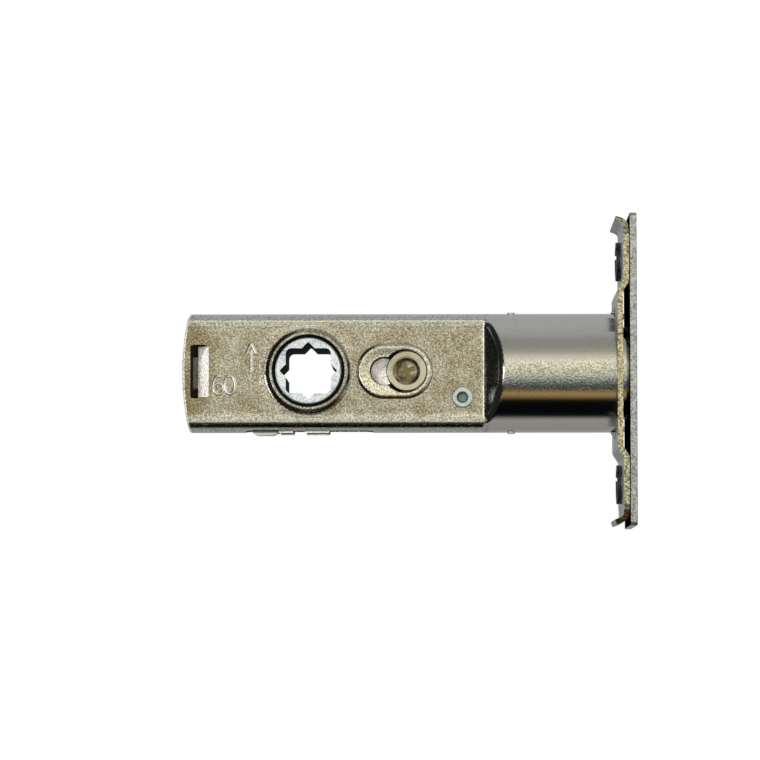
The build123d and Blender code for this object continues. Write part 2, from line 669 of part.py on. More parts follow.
def make_hub_washer(side):
    """Thin washer between a cheek and the frame plate."""
    ring = Circle(hub_washer_outer) - Circle(hub_bore + running_gap)
    y_near = cheek_far + running_gap
    washer = across(ring, y_near, y_near + hub_washer_thickness)
    if side < 0:
        washer = mirror(washer, about=Plane.XZ)
    return Pos(hub_x, 0, 0) * washer


pieces = {
    "case_shell": make_case_shell(),
    "mounting_plate": make_mounting_plate(),
    "faceplate": make_faceplate(),
    "inner_frame": make_inner_frame(),
    "guide_post": make_guide_post(),
    "guide_collar_near": make_guide_collar(-1),
    "guide_collar_far": make_guide_collar(1),
    "guide_screw": make_guide_screw(),
    "stop_rivet": make_stop_rivet(),
    "stop_sleeve": make_stop_sleeve(),
    "bolt_guide_ring": make_bolt_guide_ring(),
    "detent_spring": make_detent_spring(),
    "hub_washer_near": make_hub_washer(-1),
    "hub_washer_far": make_hub_washer(1),
    "bolt": make_bolt(),
    "tail_bar": make_tail_bar(),
    "tail_rivet": make_tail_rivet(),
    "drive_pin": make_drive_pin(),
    "hub": make_hub(),
    "crank_cheek_near": make_crank_cheek(-1),
    "crank_cheek_far": make_crank_cheek(1),
}

os.makedirs("parts", exist_ok=True)
for name, piece in pieces.items():
    export_step(piece, f"parts/{name}.step")
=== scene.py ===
"""Tubular door latch seen from its near side: looks, marks, light and camera.

Units are metres, in the CAD model's frame: +X out of the door's edge, +Z up, and the side
that the camera sees faces -Y. The origin is the middle of the faceplate's front.
"""
import logging
import math
from collections.abc import Sequence
from dataclasses import dataclass, field
from enum import Enum
from typing import Any

import bpy
import numpy as np
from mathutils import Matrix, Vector


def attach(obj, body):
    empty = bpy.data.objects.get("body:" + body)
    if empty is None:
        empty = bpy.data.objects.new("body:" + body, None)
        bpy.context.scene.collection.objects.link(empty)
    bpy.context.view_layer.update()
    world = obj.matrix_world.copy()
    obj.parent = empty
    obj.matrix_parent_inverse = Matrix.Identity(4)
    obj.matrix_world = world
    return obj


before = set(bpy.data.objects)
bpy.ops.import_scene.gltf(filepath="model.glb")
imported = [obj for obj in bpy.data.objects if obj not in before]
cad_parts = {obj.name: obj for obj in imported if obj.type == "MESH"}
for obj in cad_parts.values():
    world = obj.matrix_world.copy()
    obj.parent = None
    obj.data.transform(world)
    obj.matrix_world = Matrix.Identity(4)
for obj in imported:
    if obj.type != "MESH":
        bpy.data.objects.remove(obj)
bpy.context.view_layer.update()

MM = 0.001
LOG = logging.getLogger("latch")
Tree = bpy.types.NodeTree
Socket = bpy.types.NodeSocket

# Places that the finishes follow, in mm: the axes of hub and post, the middle of the boss and of the round
# opening beside the post, the rivet's axis, the screw holes' height and the boss's face.
HUB_X, POST_X, BOSS_X, LOBE_X = -60.0, -42.0, -44.2, -46.1
RIVET_X, RIVET_Z = -31.75, -4.8
SCREW_Z = 20.65
BOSS_Y = 6.95


def linear(hex_code: str) -> tuple[float, float, float, float]:
    """Turn an sRGB hex code into a linear colour.

    Args:
        hex_code: Six hexadecimal digits.

    Returns:
        Linear red, green, blue and an alpha of one.
    """
    parts = [int(hex_code[i:i + 2], 16) / 255 for i in (0, 2, 4)]
    low_end, slope, offset, power = 0.04045, 12.92, 0.055, 2.4
    curve = [c / slope if c <= low_end else ((c + offset) / (1 + offset)) ** power for c in parts]
    return (curve[0], curve[1], curve[2], 1.0)


def add_node(tree: Tree, kind: str, links: dict[Any, Any] | None = None,
             stops: Sequence[tuple[float, tuple[float, float, float, float]]] = (), curve: str = "LINEAR",
             **settings: Any) -> bpy.types.Node:
    """Add one shader node, set its fields, and link or set its inputs.

    Args:
        tree: The node tree it goes into.
        kind: Blender's name of the node's type.
        links: Input name or number to an output socket or a constant.
        stops: A colour ramp's pairs of position and linear colour, in order.
        curve: Blender's name of the blend between those stops.
        **settings: Fields of the node.

    Returns:
        The new node.
    """
    made = tree.nodes.new(kind)
    for name, value in settings.items():
        setattr(made, name, value)
    if stops:
        made.color_ramp.interpolation = curve
        elements = made.color_ramp.elements
        elements.remove(elements[1])
        elements[0].position, elements[0].color = stops[0]
        for place, colour in stops[1:]:
            elements.new(place).color = colour
    for key, value in (links or {}).items():
        if isinstance(value, bpy.types.NodeSocket):
            tree.links.new(value, made.inputs[key])
        else:
            made.inputs[key].default_value = value
    return made


@dataclass(frozen=True)
class Zone:
    """A part of a surface, inside a box or a cylinder across the latch, that looks different.

    Attributes:
        colour: Its sRGB hex code.
        centre_mm: Middle of the box or cylinder.
        half_mm: Half the box's sides.
        radius_mm: Radius of the cylinder along Y, or zero for a box.
        soft_mm: Half the width of the soft rim.
        roughness: Roughness inside.
        metallic: Metallic share inside.
        shine: Specular level inside.
        outside: True where the cylinder's outside is meant.
    """

    colour: str
    centre_mm: tuple[float, float, float]
    half_mm: tuple[float, float, float] = (1.0, 1.0, 1.0)
    radius_mm: float = 0.0
    soft_mm: float = 0.08
    roughness: float = 0.3
    metallic: float = 1.0
    shine: float = 0.5
    outside: bool = False

    def mask(self, tree: Tree, place: Socket) -> Socket:
        """Build the mask, one inside the zone and zero outside.

        It follows the depth below the zone's rim: the least distance to a side of the box, or the
        radius less the distance from the cylinder's axis.

        Args:
            tree: The material's node tree.
            place: Object coordinates in metres.

        Returns:
            The mask's output.
        """
        centre = tuple(v * MM for v in self.centre_mm)
        offset = add_node(tree, "ShaderNodeVectorMath", {0: place, 1: centre}, operation="SUBTRACT").outputs[0]
        if self.radius_mm:
            flat = add_node(tree, "ShaderNodeVectorMath", {0: offset, 1: (1, 0, 1)},
                            operation="MULTIPLY").outputs[0]
            away = add_node(tree, "ShaderNodeVectorMath", {0: flat}, operation="LENGTH").outputs["Value"]
            depth = add_node(tree, "ShaderNodeMath", {0: self.radius_mm * MM, 1: away},
                             operation="SUBTRACT").outputs[0]
            if self.outside:
                depth = add_node(tree, "ShaderNodeMath", {0: depth, 1: -1.0}, operation="MULTIPLY").outputs[0]
        else:
            size = add_node(tree, "ShaderNodeVectorMath", {0: offset}, operation="ABSOLUTE").outputs[0]
            half = tuple(v * MM for v in self.half_mm)
            inside = add_node(tree, "ShaderNodeVectorMath", {0: half, 1: size}, operation="SUBTRACT").outputs[0]
            parts = add_node(tree, "ShaderNodeSeparateXYZ", {0: inside}).outputs
            depth = add_node(tree, "ShaderNodeMath", {0: parts[0], 1: parts[1]}, operation="MINIMUM").outputs[0]
            depth = add_node(tree, "ShaderNodeMath", {0: depth, 1: parts[2]}, operation="MINIMUM").outputs[0]
        return add_node(tree, "ShaderNodeMapRange",
                        {"Value": depth, "From Min": -self.soft_mm * MM, "From Max": self.soft_mm * MM},
                        interpolation_type="SMOOTHSTEP").outputs["Result"]


@dataclass(frozen=True)
class Pressing:
    """Wear and shallow shapes that the press left on the tube, and painted highlights, as functions of the place
    on it.

    Sizes are in mm. A pair gives where a change starts and where it ends, along X, or as a
    distance from the latch's middle plane, from its axis plane or from the axis of a hole.

    Attributes:
        tube_starts: Along X, from the flats to the round tube, which has tarnished less.
        side_ends: From the middle plane, where the flats' sides have less tarnish, which paints a highlight on
            them.
        rear_ends: Along X, where the rear end has tarnished more.
        border: From the axis plane, the flats' border, where less tarnish paints a highlight.
        less_on_tube, side_highlight, more_at_rear, border_highlight: How much those change the tarnish.
        grain_starts: Along X, where the flats' grain starts.
        band_z: Height of the band of grain along the round tube's side.
        band_ends: From that height, where the band fades.
        least_grain: The grain's share on the rest of the tube.
        shoulder: Along X, where the long edges start to be rolled.
        swell, swell_rise: From the hub's axis, the sheet's swell round the collar, and its height.
        boss_half_run: Half the straight run of the boss.
        dish, dish_depth: From the boss's middle line, its dished face, and its depth.
        rolled_edge: The long edges' height over the plain tube's shape, by the distance from the axis plane.
    """

    tube_starts: tuple[float, float] = (-28.5, -26.5)
    side_ends: tuple[float, float] = (5.8, 5.2)
    rear_ends: tuple[float, float] = (-82.5, -76.0)
    border: tuple[float, float] = (7.4, 8.6)
    less_on_tube: float = -0.2
    side_highlight: float = -0.15
    more_at_rear: float = 0.09
    border_highlight: float = -0.10
    grain_starts: tuple[float, float] = (-27.2, -27.8)
    band_z: float = -0.9
    band_ends: tuple[float, float] = (3.4, 1.8)
    least_grain: float = 0.10
    shoulder: tuple[float, float] = (-26.4, -28.2)
    swell: tuple[float, float] = (8.1, 9.8)
    swell_rise: float = 0.10
    boss_half_run: float = 1.95
    dish: tuple[float, float] = (2.6, 4.6)
    dish_depth: float = 0.26
    rolled_edge: tuple[tuple[float, float], ...] = (
        (7.6, 0.0), (8.0, 0.02), (8.4, 0.062), (8.5, 0.074), (8.6, 0.092), (8.7, 0.118), (8.8, 0.153),
        (8.9, 0.196), (9.0, 0.25), (9.2, 0.397), (9.3, 0.485), (9.5, 0.65), (9.65, 0.755), (9.9, 0.96),
        (10.2, 1.24), (10.35, 1.38), (10.5, 1.43))

    def tarnish(self, tree: Tree, place: Socket) -> Socket:
        """How much more the pressed sides have tarnished than the round part of the tube, with less on the flats'
        sides and border as painted highlights.

        Args:
            tree: The material's node tree.
            place: Object coordinates in metres.

        Returns:
            Zero on the flat sides, less on the round part, more by the rear end.
        """
        parts = add_node(tree, "ShaderNodeSeparateXYZ", {0: place}).outputs
        tube = add_node(tree, "ShaderNodeMapRange",
                        {"Value": parts["X"], "From Min": self.tube_starts[0] * MM,
                         "From Max": self.tube_starts[1] * MM, "To Max": self.less_on_tube}).outputs["Result"]
        side = add_node(tree, "ShaderNodeMath", {0: parts["Y"]}, operation="ABSOLUTE").outputs[0]
        edge = add_node(tree, "ShaderNodeMapRange",
                        {"Value": side, "From Min": self.side_ends[0] * MM, "From Max": self.side_ends[1] * MM,
                         "To Max": self.side_highlight}).outputs["Result"]
        rear = add_node(tree, "ShaderNodeMapRange",
                        {"Value": parts["X"], "From Min": self.rear_ends[0] * MM,
                         "From Max": self.rear_ends[1] * MM, "To Min": self.more_at_rear,
                         "To Max": 0.0}).outputs["Result"]
        up = add_node(tree, "ShaderNodeMath", {0: parts["Z"]}, operation="ABSOLUTE").outputs[0]
        border = add_node(tree, "ShaderNodeMapRange",
                          {"Value": up, "From Min": self.border[0] * MM, "From Max": self.border[1] * MM,
                           "To Max": self.border_highlight}).outputs["Result"]
        least = add_node(tree, "ShaderNodeMath", {0: tube, 1: edge}, operation="MINIMUM").outputs[0]
        least = add_node(tree, "ShaderNodeMath", {0: least, 1: border}, operation="MINIMUM").outputs[0]
        return add_node(tree, "ShaderNodeMath", {0: least, 1: rear}).outputs[0]

    def grain_share(self, tree: Tree, place: Socket) -> Socket:
        """How much of its grain the plate shows: all on the flat sides, and a band along the tube's side.

        Args:
            tree: The material's node tree.
            place: Object coordinates in metres.

        Returns:
            A share from nearly zero to one.
        """
        parts = add_node(tree, "ShaderNodeSeparateXYZ", {0: place}).outputs
        flat = add_node(tree, "ShaderNodeMapRange",
                        {"Value": parts["X"], "From Min": self.grain_starts[0] * MM,
                         "From Max": self.grain_starts[1] * MM}).outputs["Result"]
        off = add_node(tree, "ShaderNodeMath", {0: parts["Z"], 1: -self.band_z * MM}).outputs[0]
        off = add_node(tree, "ShaderNodeMath", {0: off}, operation="ABSOLUTE").outputs[0]
        band = add_node(tree, "ShaderNodeMapRange",
                        {"Value": off, "From Min": self.band_ends[0] * MM, "From Max": self.band_ends[1] * MM,
                         "To Min": self.least_grain}, interpolation_type="SMOOTHSTEP").outputs["Result"]
        return add_node(tree, "ShaderNodeMath", {0: flat, 1: band}, operation="MAXIMUM").outputs[0]

    def height(self, tree: Tree, place: Socket) -> Socket:
        """Shallow shapes by the long edges of the flat sides, round the hub and on the boss.

        The edges follow a profile of the distance from the axis plane, the swell the distance from
        the hub's axis, and the dish the distance from the boss's middle line.

        Args:
            tree: The material's node tree.
            place: Object coordinates in metres.

        Returns:
            Height above the flat side in metres.
        """
        parts = add_node(tree, "ShaderNodeSeparateXYZ", {0: place}).outputs
        edges = self.edge_height(tree, parts)
        offset = add_node(tree, "ShaderNodeVectorMath", {0: place, 1: (HUB_X * MM, 0, 0)},
                          operation="SUBTRACT").outputs[0]
        flat = add_node(tree, "ShaderNodeVectorMath", {0: offset, 1: (1, 0, 1)}, operation="MULTIPLY").outputs[0]
        away = add_node(tree, "ShaderNodeVectorMath", {0: flat}, operation="LENGTH").outputs["Value"]
        swell = add_node(tree, "ShaderNodeMapRange",
                         {"Value": away, "From Min": self.swell[0] * MM, "From Max": self.swell[1] * MM,
                          "To Min": self.swell_rise * MM, "To Max": 0.0},
                         interpolation_type="SMOOTHSTEP").outputs["Result"]
        pressed = add_node(tree, "ShaderNodeMath", {0: edges, 1: swell}, operation="MAXIMUM").outputs[0]
        return add_node(tree, "ShaderNodeMath", {0: pressed, 1: self.boss_height(tree, parts)}).outputs[0]

    def edge_height(self, tree: Tree, parts: Any) -> Socket:
        """Height of the rolled long edges behind the shoulder.

        Args:
            tree: The material's node tree.
            parts: The X, Y and Z outputs of the place.

        Returns:
            Height in metres.
        """
        up = add_node(tree, "ShaderNodeMath", {0: parts["Z"]}, operation="ABSOLUTE").outputs[0]
        (start, _), (end, top) = self.rolled_edge[0], self.rolled_edge[-1]
        share = add_node(tree, "ShaderNodeMapRange",
                         {"Value": up, "From Min": start * MM, "From Max": end * MM}).outputs["Result"]
        stops = [((at - start) / (end - start), (rise / top,) * 3 + (1.0,)) for at, rise in self.rolled_edge]
        profile = add_node(tree, "ShaderNodeValToRGB", {0: share}, stops, "CARDINAL").outputs["Color"]
        edge = add_node(tree, "ShaderNodeMath", {0: profile, 1: top * MM}, operation="MULTIPLY").outputs[0]
        behind = add_node(tree, "ShaderNodeMapRange",
                          {"Value": parts["X"], "From Min": self.shoulder[0] * MM,
                           "From Max": self.shoulder[1] * MM}, interpolation_type="SMOOTHSTEP").outputs["Result"]
        return add_node(tree, "ShaderNodeMath", {0: edge, 1: behind}, operation="MULTIPLY").outputs[0]

    def boss_height(self, tree: Tree, parts: Any) -> Socket:
        """Height of the boss's face, which falls towards the opening.

        Args:
            tree: The material's node tree.
            parts: The X, Y and Z outputs of the place.

        Returns:
            Height in metres, by the distance from the boss's middle line.
        """
        along = add_node(tree, "ShaderNodeMath", {0: parts["X"], 1: -BOSS_X * MM}).outputs[0]
        along = add_node(tree, "ShaderNodeMath", {0: along}, operation="ABSOLUTE").outputs[0]
        along = add_node(tree, "ShaderNodeMath", {0: along, 1: self.boss_half_run * MM},
                         operation="SUBTRACT").outputs[0]
        along = add_node(tree, "ShaderNodeMath", {0: along, 1: 0.0}, operation="MAXIMUM").outputs[0]
        spot = add_node(tree, "ShaderNodeCombineXYZ", {0: along, 2: parts["Z"]}).outputs[0]
        away = add_node(tree, "ShaderNodeVectorMath", {0: spot}, operation="LENGTH").outputs["Value"]
        return add_node(tree, "ShaderNodeMapRange",
                        {"Value": away, "From Min": self.dish[0] * MM, "From Max": self.dish[1] * MM,
                         "To Max": self.dish_depth * MM}, interpolation_type="SMOOTHSTEP").outputs["Result"]


@dataclass(frozen=True)
class Finish:
    """A metal surface: what it reflects, how rough it is and how it has aged.

    The real grain of plated sheet is about 0.05 mm, too fine to show, so it is drawn coarser.

    Attributes:
        name: The material's name.
        colour, aged: sRGB hex codes of the clean and the tarnished metal.
        roughness: Roughness where it is clean.
        grain_mm, grain_height_mm: Width and height of the sheet's grain.
        grain_tint: How much the grain lightens and darkens the colour.
        patch_mm, patch_share: Width of the tarnished patches, and how much they cover.
        speck_share: How much of the tarnish is specks and not patches.
        metallic: Metallic share.
        zones: Parts that look different, each over the one before.
        pressing: The press's marks, where it has them.
    """

    name: str
    colour: str
    aged: str
    roughness: float
    grain_mm: float = 0.24
    grain_height_mm: float = 0.006
    grain_tint: float = 0.10
    patch_mm: float = 5.0
    patch_share: float = 0.35
    speck_share: float = 0.6
    metallic: float = 1.0
    zones: tuple[Zone, ...] = ()
    pressing: Pressing | None = None

    def material(self) -> bpy.types.Material:
        """Build the procedural material.

        Returns:
            A material with grain, patches of age and a fine bump, in object coordinates.
        """
        made = bpy.data.materials.new(self.name)
        made.use_nodes = True
        tree = made.node_tree
        tree.nodes.clear()
        place = add_node(tree, "ShaderNodeTexCoord").outputs["Object"]
        grain = add_node(tree, "ShaderNodeTexNoise",
                         {"Vector": place, "Scale": 1 / (self.grain_mm * MM), "Detail": 1.0}).outputs["Fac"]
        share = self.pressing.grain_share(tree, place) if self.pressing else 1.0
        colour, metal, rough, shine = self.surface(tree, place)
        light = add_node(tree, "ShaderNodeMapRange",
                         {"Value": grain, "From Min": 0.3, "From Max": 0.7, "To Min": -self.grain_tint,
                          "To Max": self.grain_tint}).outputs["Result"]
        light = add_node(tree, "ShaderNodeMath", {0: light, 1: share, 2: 1.0}, operation="MULTIPLY_ADD").outputs[0]
        tinted = add_node(tree, "ShaderNodeVectorMath", {0: colour, "Scale": light}, operation="SCALE").outputs[0]
        height = add_node(tree, "ShaderNodeMath", {0: grain, 1: self.grain_height_mm * MM},
                          operation="MULTIPLY").outputs[0]
        height = add_node(tree, "ShaderNodeMath", {0: height, 1: share}, operation="MULTIPLY").outputs[0]
        if self.pressing:
            height = add_node(tree, "ShaderNodeMath", {0: height, 1: self.pressing.height(tree, place)}).outputs[0]
        bump = add_node(tree, "ShaderNodeBump", {"Height": height, "Distance": 1.0}).outputs["Normal"]
        shader = add_node(tree, "ShaderNodeBsdfPrincipled",
                          {"Base Color": tinted, "Metallic": metal, "Roughness": rough, "Normal": bump,
                           "Specular IOR Level": shine})
        add_node(tree, "ShaderNodeOutputMaterial", {"Surface": shader.outputs[0]})
        return made

    def age(self, tree: Tree, place: Socket) -> Socket:
        """Mask of the tarnish, from broad patches and fine specks.

        Args:
            tree: The material's node tree.
            place: Object coordinates in metres.

        Returns:
            Zero on clean metal, one on tarnished.
        """
        speck_mm = 0.85 * self.grain_mm
        patches = add_node(tree, "ShaderNodeTexNoise",
                           {"Vector": place, "Scale": 1 / (self.patch_mm * MM), "Detail": 5.0,
                            "Roughness": 0.62}).outputs["Fac"]
        specks = add_node(tree, "ShaderNodeTexNoise",
                          {"Vector": place, "Scale": 1 / (speck_mm * MM), "Detail": 2.0}).outputs["Fac"]
        blend = add_node(tree, "ShaderNodeMix", {0: self.speck_share, 2: patches, 3: specks}).outputs[0]
        if self.pressing:
            blend = add_node(tree, "ShaderNodeMath", {0: blend, 1: self.pressing.tarnish(tree, place)}).outputs[0]
        centre, spread = 0.66 - 0.3 * self.patch_share, 0.15
        return add_node(tree, "ShaderNodeMapRange",
                        {"Value": blend, "From Min": centre - spread, "From Max": centre + spread},
                        interpolation_type="SMOOTHSTEP").outputs["Result"]

    def surface(self, tree: Tree, place: Socket) -> tuple[Socket, Any, Socket, Any]:
        """Colour and shine of the metal, with its zones laid over each other.

        Args:
            tree: The material's node tree.
            place: Object coordinates in metres.

        Returns:
            Colour, metallic share, roughness and specular level, each an output or a constant.
        """
        aged = self.age(tree, place)
        colour = add_node(tree, "ShaderNodeMix", {0: aged, 6: linear(self.colour), 7: linear(self.aged)},
                          data_type="RGBA").outputs[2]
        rough = add_node(tree, "ShaderNodeMath", {0: aged, 1: 0.06, 2: self.roughness},
                         operation="MULTIPLY_ADD").outputs[0]
        metal, shine = self.metallic, 0.5
        for zone in self.zones:
            mask = zone.mask(tree, place)
            colour = add_node(tree, "ShaderNodeMix", {0: mask, 6: colour, 7: linear(zone.colour)},
                              data_type="RGBA").outputs[2]
            rough = add_node(tree, "ShaderNodeMix", {0: mask, 2: rough, 3: zone.roughness}).outputs[0]
            metal = add_node(tree, "ShaderNodeMix", {0: mask, 2: metal, 3: zone.metallic}).outputs[0]
            shine = add_node(tree, "ShaderNodeMix", {0: mask, 2: shine, 3: zone.shine}).outputs[0]
        return colour, metal, rough, shine


# How a face looks that lies in full shade, and one in half shade.
SHADE: dict[str, Any] = {"roughness": 1.0, "metallic": 0.0, "shine": 0.0}
HALF_SHADE: dict[str, Any] = {"roughness": 0.8, "metallic": 0.0, "shine": 0.1}


class Metal(Enum):
    """The finishes on this latch. Each comment says what the metal is, how it was made and how it looks."""

    # Cold-rolled steel sheet, pressed and then nickel-plated over its own grain. The plate has tarnished in
    # specks, so the flats look warm and grainy, with painted highlights along their edges and painted shade in the
    # gaps and inside.
    PRESSED = Finish(
        "pressed_nickel", "D4D3CC", "8F7F5B", 0.14, grain_mm=0.32, grain_height_mm=0.045, grain_tint=0.44,
        patch_share=0.50, pressing=Pressing(), zones=(
            # Painted shade in the gap round the hub.
            Zone("0A0A0C", (HUB_X, 0.0, 0.0), radius_mm=6.72, roughness=0.6, metallic=0.0, shine=0.1),
            # Painted highlight on the crisp front edge of the near flat.
            Zone("F4F2EA", (-27.88, -6.3, 0.0), (0.11, 0.5, 8.7), soft_mm=0.07, roughness=0.5, metallic=0.4),
            # The flats' long borders: smoother, with a painted highlight.
            Zone("CFCEC6", (-56.0, 0.0, -8.85), (28.2, 14.0, 0.42), soft_mm=0.2, roughness=0.2),
            Zone("E6E4DC", (-56.0, 0.0, 9.3), (28.2, 14.0, 0.30), soft_mm=0.2, roughness=0.2),
            # Painted shade on the inside of the flats.
            Zone("1E1912", (HUB_X, 0.0, 0.0), (24.0, 5.02, 9.2), soft_mm=0.03, **SHADE),
            # Painted highlight on the locking tabs, bent into the rear slots.
            Zone("F2F1EC", (-78.6, 0.0, 0.0), (2.0, 5.9, 4.8), roughness=0.5, metallic=0.35),
            # Painted highlight on the sheared rear edge, beyond a bow round the front end of the flats.
            Zone("DAD8D0", (-27.3, 0.0, 0.0), radius_mm=55.55, outside=True, roughness=0.4, metallic=0.5),
            # The faces of the two bosses, lighter and smoother than the flats.
            Zone("E6E1D0", (BOSS_X, -BOSS_Y, 0.0), (7.0, 0.35, 5.0), soft_mm=0.2, roughness=0.2),
            Zone("E6E1D0", (BOSS_X, BOSS_Y, 0.0), (7.0, 0.35, 5.0), soft_mm=0.2, roughness=0.2),
            # Painted shade on the boss's face that stands for the gap beside the post's collar, wider towards the
            # round opening.
            Zone("14110B", (-42.3, 0.0, 0.0), radius_mm=4.06, soft_mm=0.06, **HALF_SHADE),
        ))
    # The same sheet and plate at the mounting plate. Its faces in the gap behind the faceplate carry painted
    # shade, and its sheared edge is speckled.
    BACKING = Finish(
        "mounting_nickel", "A9ACB2", "8E9094", 0.34, grain_mm=0.36, grain_tint=0.75, grain_height_mm=0.03, zones=(
            # Painted shade on the front faces of the ends and of the middle.
            Zone("050505", (-1.5, 0.0, 0.0), (0.10, 12.6, 24.0), soft_mm=0.02, **SHADE),
            Zone("050505", (-2.6, 0.0, 0.0), (0.10, 12.6, 14.0), soft_mm=0.02, **SHADE),
            # The near sheared edge.
            Zone("CBC2A6", (-2.5, -12.8, 0.0), (2.0, 0.2, 30.0), soft_mm=0.05, roughness=0.35),
            # The lips' near ends.
            Zone("D8CBA2", (-2.4, -11.4, 26.6), (1.1, 1.5, 1.6), soft_mm=0.1, roughness=0.35),
            Zone("D8CBA2", (-2.4, -11.4, -26.6), (1.1, 1.5, 1.6), soft_mm=0.1, roughness=0.35),
            # The drawn collars of the screw holes.
            Zone("34393D", (-4.0, 0.0, SCREW_Z), (1.45, 4.2, 4.2), roughness=0.3, metallic=0.5),
            Zone("34393D", (-4.0, 0.0, -SCREW_Z), (1.45, 4.2, 4.2), roughness=0.3, metallic=0.5),
        ))
    # The faceplate, blanked from the same sheet and plated: grey, with a fine even grain, and painted shade at its
    # back.
    FACE = Finish(
        "faceplate_nickel", "D2D7E0", "8E8F90", 0.26, grain_mm=0.36, grain_height_mm=0.03, grain_tint=0.26,
        speck_share=0.75, patch_share=0.45, zones=(
            # Painted shade on the back of the faceplate.
            Zone("040404", (-1.5, 0.0, 0.0), (0.42, 12.55, 28.4), soft_mm=0.06, **SHADE),
        ))
    # Zinc die-casting, left as cast: dull, pale and a little oxidised, with painted shade on the walls in its
    # hole.
    CAST = Finish(
        "cast_zinc", "E8EEF4", "93A4AE", 0.35, grain_mm=0.34, grain_height_mm=0.03, grain_tint=0.16,
        metallic=0.6, zones=(
            # Painted shade on the walls in the hub's hole.
            Zone("0C1322", (HUB_X, 0.0, 0.0), (7.0, 7.72, 7.0), soft_mm=0.05, **HALF_SHADE),
        ))
    # The raised marks: the pressed sheet's plate, lighter than the flats and with less tarnish.
    RAISED = Finish("raised_nickel", "EFEEE8", "B9B098", 0.2, grain_height_mm=0.02, grain_tint=0.15,
                    patch_share=0.2)
    # Zinc-plated steel sheet folded to the inner frame: painted near white, as if in full light, in the round
    # opening, with painted shade in the rear slot, on the feet and round that opening.
    FOLDED = Finish(
        "folded_zinc", "BFC4C6", "9A9FA0", 0.30, grain_mm=0.34, grain_tint=0.3, zones=(
            # What shows in the rear slot: the ends of the strip in shade, its middle lighter.
            Zone("1A140C", (-81.5, 0.0, 6.4), (3.0, 6.0, 3.5), soft_mm=0.1, **HALF_SHADE),
            Zone("1A140C", (-81.5, 0.0, -6.4), (3.0, 6.0, 3.5), soft_mm=0.1, **HALF_SHADE),
            Zone("8C8678", (-81.5, 0.0, 0.0), (3.0, 6.0, 2.9), soft_mm=0.1, roughness=0.5),
            # Painted reflection on the feet under the tube, carrying on the tube's bands: painted shade at the
            # root, grey, then a painted highlight at the tips.
            Zone("14151A", (-60.9, 0.0, -9.55), (6.0, 6.0, 0.75), soft_mm=0.1, roughness=0.5),
            Zone("9C9C99", (-60.9, 0.0, -10.65), (6.0, 6.0, 0.35), soft_mm=0.1, roughness=0.5),
            Zone("F0F0EC", (-60.9, 0.0, -11.3), (6.0, 6.0, 0.28), soft_mm=0.05, roughness=0.5, metallic=0.3),
            # What shows in the round opening: a rim of painted shade round the sheet, which is painted near white
            # as if in full light.
            Zone("17130D", (LOBE_X, 0.0, 0.0), (3.6, 6.0, 3.6), soft_mm=0.1, roughness=0.9, metallic=0.0,
                 shine=0.1),
            Zone("FAF9F4", (LOBE_X, 0.0, 0.0), radius_mm=2.42, soft_mm=0.1, roughness=0.6, metallic=0.0),
        ))
    # The crank's cheeks, blanked from zinc-plated strip: pale tips, and shade on the part inside the tube.
    CRANK = Finish(
        "crank_zinc", "F0F2F2", "C4C9CA", 0.40, metallic=0.5, zones=(
            Zone("747576", (HUB_X, 0.0, -5.0), (24.0, 6.0, 6.08), soft_mm=0.08, roughness=0.5),
        ))
    # Cold-headed steel rivet with fresh bright zinc plate: bluish, with painted shade in its hollow end.
    RIVET = Finish(
        "rivet_zinc", "DDE6EC", "A9B6BF", 0.24, grain_height_mm=0.01, metallic=0.85, zones=(
            # Painted shade in the rivet's hollow end.
            Zone("98A5AB", (RIVET_X, 0.0, RIVET_Z), radius_mm=0.85, roughness=0.4),
        ))
    # Turned or cold-headed steel with a thin nickel flash: smooth and warm, with painted shade in the cross
    # recess.
    TURNED = Finish(
        "turned_nickel", "E2DDCE", "B0A483", 0.26, grain_height_mm=0.008, speck_share=0.3, patch_share=0.25,
        zones=(
            # Painted shade on the floor of the screw's cross recess.
            Zone("8D815F", (POST_X, -6.0, 0.0), (1.9, 0.14, 1.9), soft_mm=0.03, roughness=0.35),
        ))
    # Plain hardened steel with a film of grease: dark and even.
    PLAIN = Finish("plain_steel", "7E7D7A", "55524C", 0.38)
    # Drawn brass rod, turned and nickel-plated: smooth, with soft long reflections.
    ROD = Finish("plated_rod", "C9C2B4", "A99C80", 0.20, grain_height_mm=0.001, grain_tint=0.06)


